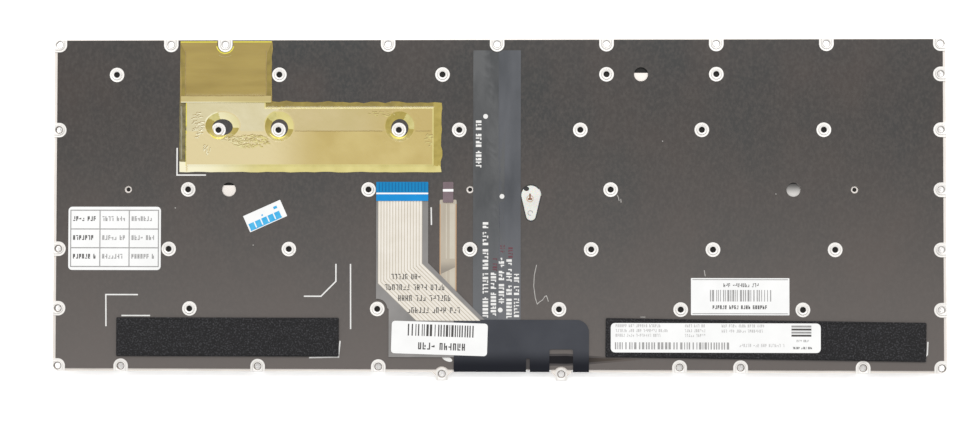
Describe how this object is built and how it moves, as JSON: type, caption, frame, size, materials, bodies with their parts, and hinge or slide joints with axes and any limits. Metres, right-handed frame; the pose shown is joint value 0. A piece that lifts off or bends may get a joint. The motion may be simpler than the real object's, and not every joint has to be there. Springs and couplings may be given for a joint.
{
  "type": "laptop keyboard",
  "caption": "Thin replacement laptop keyboard lying on its keycaps, with an aluminium base plate, black back film, backlight flex, folded ribbon tail, foam strips and travelling keys.",
  "frame": {"origin": "centre of the overall outline, on the plane of the keycap faces that it lies on", "axes": "+X along the key rows towards the side of the escape key, +Y from the space bar to the function row, +Z from the keycap faces to the back film"},
  "size_m": [0.281, 0.1076, 0.0052],
  "materials": {
    "plate": "satin",
    "guide": "gloss",
    "film": "matte",
    "flex": "satin",
    "flex_stiffener": "satin",
    "membrane": "satin",
    "tail_stiffener": "satin",
    "dome": "matte",
    "keycap": "matte",
    "tape": "gloss",
    "foam": "matte",
    "label": "matte"
  },
  "bodies": {
    "chassis": {"base_plate": "plate", "light_guide": "guide", "back_film": "film", "led_flex": "flex", "led_tail_stiffener": "flex_stiffener", "switch_membrane": "membrane", "tail_stiffener": "tail_stiffener", "rubber_domes": "dome", "fixed_keycaps": "keycap", "insulating_tape": "tape", "foam_strip_left": "foam", "foam_strip_right": "foam", "test_label": "label", "small_sticker": "label", "ribbon_label": "label", "serial_label": "label", "rating_label": "label"},
    "1_key": {"key_1": "keycap"},
    "2_key": {"key_2": "keycap"},
    "3_key": {"key_3": "keycap"},
    "4_key": {"key_4": "keycap"},
    "5_key": {"key_5": "keycap"},
    "6_key": {"key_6": "keycap"},
    "7_key": {"key_7": "keycap"},
    "8_key": {"key_8": "keycap"},
    "9_key": {"key_9": "keycap"},
    "0_key": {"key_0": "keycap"},
    "q_key": {"key_q": "keycap"},
    "w_key": {"key_w": "keycap"},
    "e_key": {"key_e": "keycap"},
    "r_key": {"key_r": "keycap"},
    "t_key": {"key_t": "keycap"},
    "y_key": {"key_y": "keycap"},
    "u_key": {"key_u": "keycap"},
    "i_key": {"key_i": "keycap"},
    "o_key": {"key_o": "keycap"},
    "p_key": {"key_p": "keycap"},
    "a_key": {"key_a": "keycap"},
    "s_key": {"key_s": "keycap"},
    "d_key": {"key_d": "keycap"},
    "f_key": {"key_f": "keycap"},
    "g_key": {"key_g": "keycap"},
    "h_key": {"key_h": "keycap"},
    "j_key": {"key_j": "keycap"},
    "k_key": {"key_k": "keycap"},
    "l_key": {"key_l": "keycap"},
    "z_key": {"key_z": "keycap"},
    "x_key": {"key_x": "keycap"},
    "c_key": {"key_c": "keycap"},
    "v_key": {"key_v": "keycap"},
    "b_key": {"key_b": "keycap"},
    "n_key": {"key_n": "keycap"},
    "m_key": {"key_m": "keycap"},
    "space_key": {"key_space": "keycap"},
    "enter_key": {"key_enter": "keycap"},
    "backspace_key": {"key_backspace": "keycap"},
    "tab_key": {"key_tab": "keycap"},
    "caps_lock_key": {"key_caps_lock": "keycap"},
    "left_shift_key": {"key_left_shift": "keycap"},
    "right_shift_key": {"key_right_shift": "keycap"}
  },
  "joints": [
    {"name": "1_press", "type": "slide", "parent": "chassis", "child": "1_key", "axis": [0, 0, 1], "range_m": [0, 0.0012], "stiffness_N_per_m": 330, "springref_m": -0.0006, "deforming": ["rubber_domes"]},
    {"name": "2_press", "type": "slide", "parent": "chassis", "child": "2_key", "axis": [0, 0, 1], "range_m": [0, 0.0012], "stiffness_N_per_m": 330, "springref_m": -0.0006, "deforming": ["rubber_domes"]},
    {"name": "3_press", "type": "slide", "parent": "chassis", "child": "3_key", "axis": [0, 0, 1], "range_m": [0, 0.0012], "stiffness_N_per_m": 330, "springref_m": -0.0006, "deforming": ["rubber_domes"]},
    {"name": "4_press", "type": "slide", "parent": "chassis", "child": "4_key", "axis": [0, 0, 1], "range_m": [0, 0.0012], "stiffness_N_per_m": 330, "springref_m": -0.0006, "deforming": ["rubber_domes"]},
    {"name": "5_press", "type": "slide", "parent": "chassis", "child": "5_key", "axis": [0, 0, 1], "range_m": [0, 0.0012], "stiffness_N_per_m": 330, "springref_m": -0.0006, "deforming": ["rubber_domes"]},
    {"name": "6_press", "type": "slide", "parent": "chassis", "child": "6_key", "axis": [0, 0, 1], "range_m": [0, 0.0012], "stiffness_N_per_m": 330, "springref_m": -0.0006, "deforming": ["rubber_domes"]},
    {"name": "7_press", "type": "slide", "parent": "chassis", "child": "7_key", "axis": [0, 0, 1], "range_m": [0, 0.0012], "stiffness_N_per_m": 330, "springref_m": -0.0006, "deforming": ["rubber_domes"]},
    {"name": "8_press", "type": "slide", "parent": "chassis", "child": "8_key", "axis": [0, 0, 1], "range_m": [0, 0.0012], "stiffness_N_per_m": 330, "springref_m": -0.0006, "deforming": ["rubber_domes"]},
    {"name": "9_press", "type": "slide", "parent": "chassis", "child": "9_key", "axis": [0, 0, 1], "range_m": [0, 0.0012], "stiffness_N_per_m": 330, "springref_m": -0.0006, "deforming": ["rubber_domes"]},
    {"name": "0_press", "type": "slide", "parent": "chassis", "child": "0_key", "axis": [0, 0, 1], "range_m": [0, 0.0012], "stiffness_N_per_m": 330, "springref_m": -0.0006, "deforming": ["rubber_domes"]},
    {"name": "q_press", "type": "slide", "parent": "chassis", "child": "q_key", "axis": [0, 0, 1], "range_m": [0, 0.0012], "stiffness_N_per_m": 330, "springref_m": -0.0006, "deforming": ["rubber_domes"]},
    {"name": "w_press", "type": "slide", "parent": "chassis", "child": "w_key", "axis": [0, 0, 1], "range_m": [0, 0.0012], "stiffness_N_per_m": 330, "springref_m": -0.0006, "deforming": ["rubber_domes"]},
    {"name": "e_press", "type": "slide", "parent": "chassis", "child": "e_key", "axis": [0, 0, 1], "range_m": [0, 0.0012], "stiffness_N_per_m": 330, "springref_m": -0.0006, "deforming": ["rubber_domes"]},
    {"name": "r_press", "type": "slide", "parent": "chassis", "child": "r_key", "axis": [0, 0, 1], "range_m": [0, 0.0012], "stiffness_N_per_m": 330, "springref_m": -0.0006, "deforming": ["rubber_domes"]},
    {"name": "t_press", "type": "slide", "parent": "chassis", "child": "t_key", "axis": [0, 0, 1], "range_m": [0, 0.0012], "stiffness_N_per_m": 330, "springref_m": -0.0006, "deforming": ["rubber_domes"]},
    {"name": "y_press", "type": "slide", "parent": "chassis", "child": "y_key", "axis": [0, 0, 1], "range_m": [0, 0.0012], "stiffness_N_per_m": 330, "springref_m": -0.0006, "deforming": ["rubber_domes"]},
    {"name": "u_press", "type": "slide", "parent": "chassis", "child": "u_key", "axis": [0, 0, 1], "range_m": [0, 0.0012], "stiffness_N_per_m": 330, "springref_m": -0.0006, "deforming": ["rubber_domes"]},
    {"name": "i_press", "type": "slide", "parent": "chassis", "child": "i_key", "axis": [0, 0, 1], "range_m": [0, 0.0012], "stiffness_N_per_m": 330, "springref_m": -0.0006, "deforming": ["rubber_domes"]},
    {"name": "o_press", "type": "slide", "parent": "chassis", "child": "o_key", "axis": [0, 0, 1], "range_m": [0, 0.0012], "stiffness_N_per_m": 330, "springref_m": -0.0006, "deforming": ["rubber_domes"]},
    {"name": "p_press", "type": "slide", "parent": "chassis", "child": "p_key", "axis": [0, 0, 1], "range_m": [0, 0.0012], "stiffness_N_per_m": 330, "springref_m": -0.0006, "deforming": ["rubber_domes"]},
    {"name": "a_press", "type": "slide", "parent": "chassis", "child": "a_key", "axis": [0, 0, 1], "range_m": [0, 0.0012], "stiffness_N_per_m": 330, "springref_m": -0.0006, "deforming": ["rubber_domes"]},
    {"name": "s_press", "type": "slide", "parent": "chassis", "child": "s_key", "axis": [0, 0, 1], "range_m": [0, 0.0012], "stiffness_N_per_m": 330, "springref_m": -0.0006, "deforming": ["rubber_domes"]},
    {"name": "d_press", "type": "slide", "parent": "chassis", "child": "d_key", "axis": [0, 0, 1], "range_m": [0, 0.0012], "stiffness_N_per_m": 330, "springref_m": -0.0006, "deforming": ["rubber_domes"]},
    {"name": "f_press", "type": "slide", "parent": "chassis", "child": "f_key", "axis": [0, 0, 1], "range_m": [0, 0.0012], "stiffness_N_per_m": 330, "springref_m": -0.0006, "deforming": ["rubber_domes"]},
    {"name": "g_press", "type": "slide", "parent": "chassis", "child": "g_key", "axis": [0, 0, 1], "range_m": [0, 0.0012], "stiffness_N_per_m": 330, "springref_m": -0.0006, "deforming": ["rubber_domes"]},
    {"name": "h_press", "type": "slide", "parent": "chassis", "child": "h_key", "axis": [0, 0, 1], "range_m": [0, 0.0012], "stiffness_N_per_m": 330, "springref_m": -0.0006, "deforming": ["rubber_domes"]},
    {"name": "j_press", "type": "slide", "parent": "chassis", "child": "j_key", "axis": [0, 0, 1], "range_m": [0, 0.0012], "stiffness_N_per_m": 330, "springref_m": -0.0006, "deforming": ["rubber_domes"]},
    {"name": "k_press", "type": "slide", "parent": "chassis", "child": "k_key", "axis": [0, 0, 1], "range_m": [0, 0.0012], "stiffness_N_per_m": 330, "springref_m": -0.0006, "deforming": ["rubber_domes"]},
    {"name": "l_press", "type": "slide", "parent": "chassis", "child": "l_key", "axis": [0, 0, 1], "range_m": [0, 0.0012], "stiffness_N_per_m": 330, "springref_m": -0.0006, "deforming": ["rubber_domes"]},
    {"name": "z_press", "type": "slide", "parent": "chassis", "child": "z_key", "axis": [0, 0, 1], "range_m": [0, 0.0012], "stiffness_N_per_m": 330, "springref_m": -0.0006, "deforming": ["rubber_domes"]},
    {"name": "x_press", "type": "slide", "parent": "chassis", "child": "x_key", "axis": [0, 0, 1], "range_m": [0, 0.0012], "stiffness_N_per_m": 330, "springref_m": -0.0006, "deforming": ["rubber_domes"]},
    {"name": "c_press", "type": "slide", "parent": "chassis", "child": "c_key", "axis": [0, 0, 1], "range_m": [0, 0.0012], "stiffness_N_per_m": 330, "springref_m": -0.0006, "deforming": ["rubber_domes"]},
    {"name": "v_press", "type": "slide", "parent": "chassis", "child": "v_key", "axis": [0, 0, 1], "range_m": [0, 0.0012], "stiffness_N_per_m": 330, "springref_m": -0.0006, "deforming": ["rubber_domes"]},
    {"name": "b_press", "type": "slide", "parent": "chassis", "child": "b_key", "axis": [0, 0, 1], "range_m": [0, 0.0012], "stiffness_N_per_m": 330, "springref_m": -0.0006, "deforming": ["rubber_domes"]},
    {"name": "n_press", "type": "slide", "parent": "chassis", "child": "n_key", "axis": [0, 0, 1], "range_m": [0, 0.0012], "stiffness_N_per_m": 330, "springref_m": -0.0006, "deforming": ["rubber_domes"]},
    {"name": "m_press", "type": "slide", "parent": "chassis", "child": "m_key", "axis": [0, 0, 1], "range_m": [0, 0.0012], "stiffness_N_per_m": 330, "springref_m": -0.0006, "deforming": ["rubber_domes"]},
    {"name": "space_press", "type": "slide", "parent": "chassis", "child": "space_key", "axis": [0, 0, 1], "range_m": [0, 0.0012], "stiffness_N_per_m": 330, "springref_m": -0.0006, "deforming": ["rubber_domes"]},
    {"name": "enter_press", "type": "slide", "parent": "chassis", "child": "enter_key", "axis": [0, 0, 1], "range_m": [0, 0.0012], "stiffness_N_per_m": 330, "springref_m": -0.0006, "deforming": ["rubber_domes"]},
    {"name": "backspace_press", "type": "slide", "parent": "chassis", "child": "backspace_key", "axis": [0, 0, 1], "range_m": [0, 0.0012], "stiffness_N_per_m": 330, "springref_m": -0.0006, "deforming": ["rubber_domes"]},
    {"name": "tab_press", "type": "slide", "parent": "chassis", "child": "tab_key", "axis": [0, 0, 1], "range_m": [0, 0.0012], "stiffness_N_per_m": 330, "springref_m": -0.0006, "deforming": ["rubber_domes"]},
    {"name": "caps_lock_press", "type": "slide", "parent": "chassis", "child": "caps_lock_key", "axis": [0, 0, 1], "range_m": [0, 0.0012], "stiffness_N_per_m": 330, "springref_m": -0.0006, "deforming": ["rubber_domes"]},
    {"name": "left_shift_press", "type": "slide", "parent": "chassis", "child": "left_shift_key", "axis": [0, 0, 1], "range_m": [0, 0.0012], "stiffness_N_per_m": 330, "springref_m": -0.0006, "deforming": ["rubber_domes"]},
    {"name": "right_shift_press", "type": "slide", "parent": "chassis", "child": "right_shift_key", "axis": [0, 0, 1], "range_m": [0, 0.0012], "stiffness_N_per_m": 330, "springref_m": -0.0006, "deforming": ["rubber_domes"]}
  ]
}
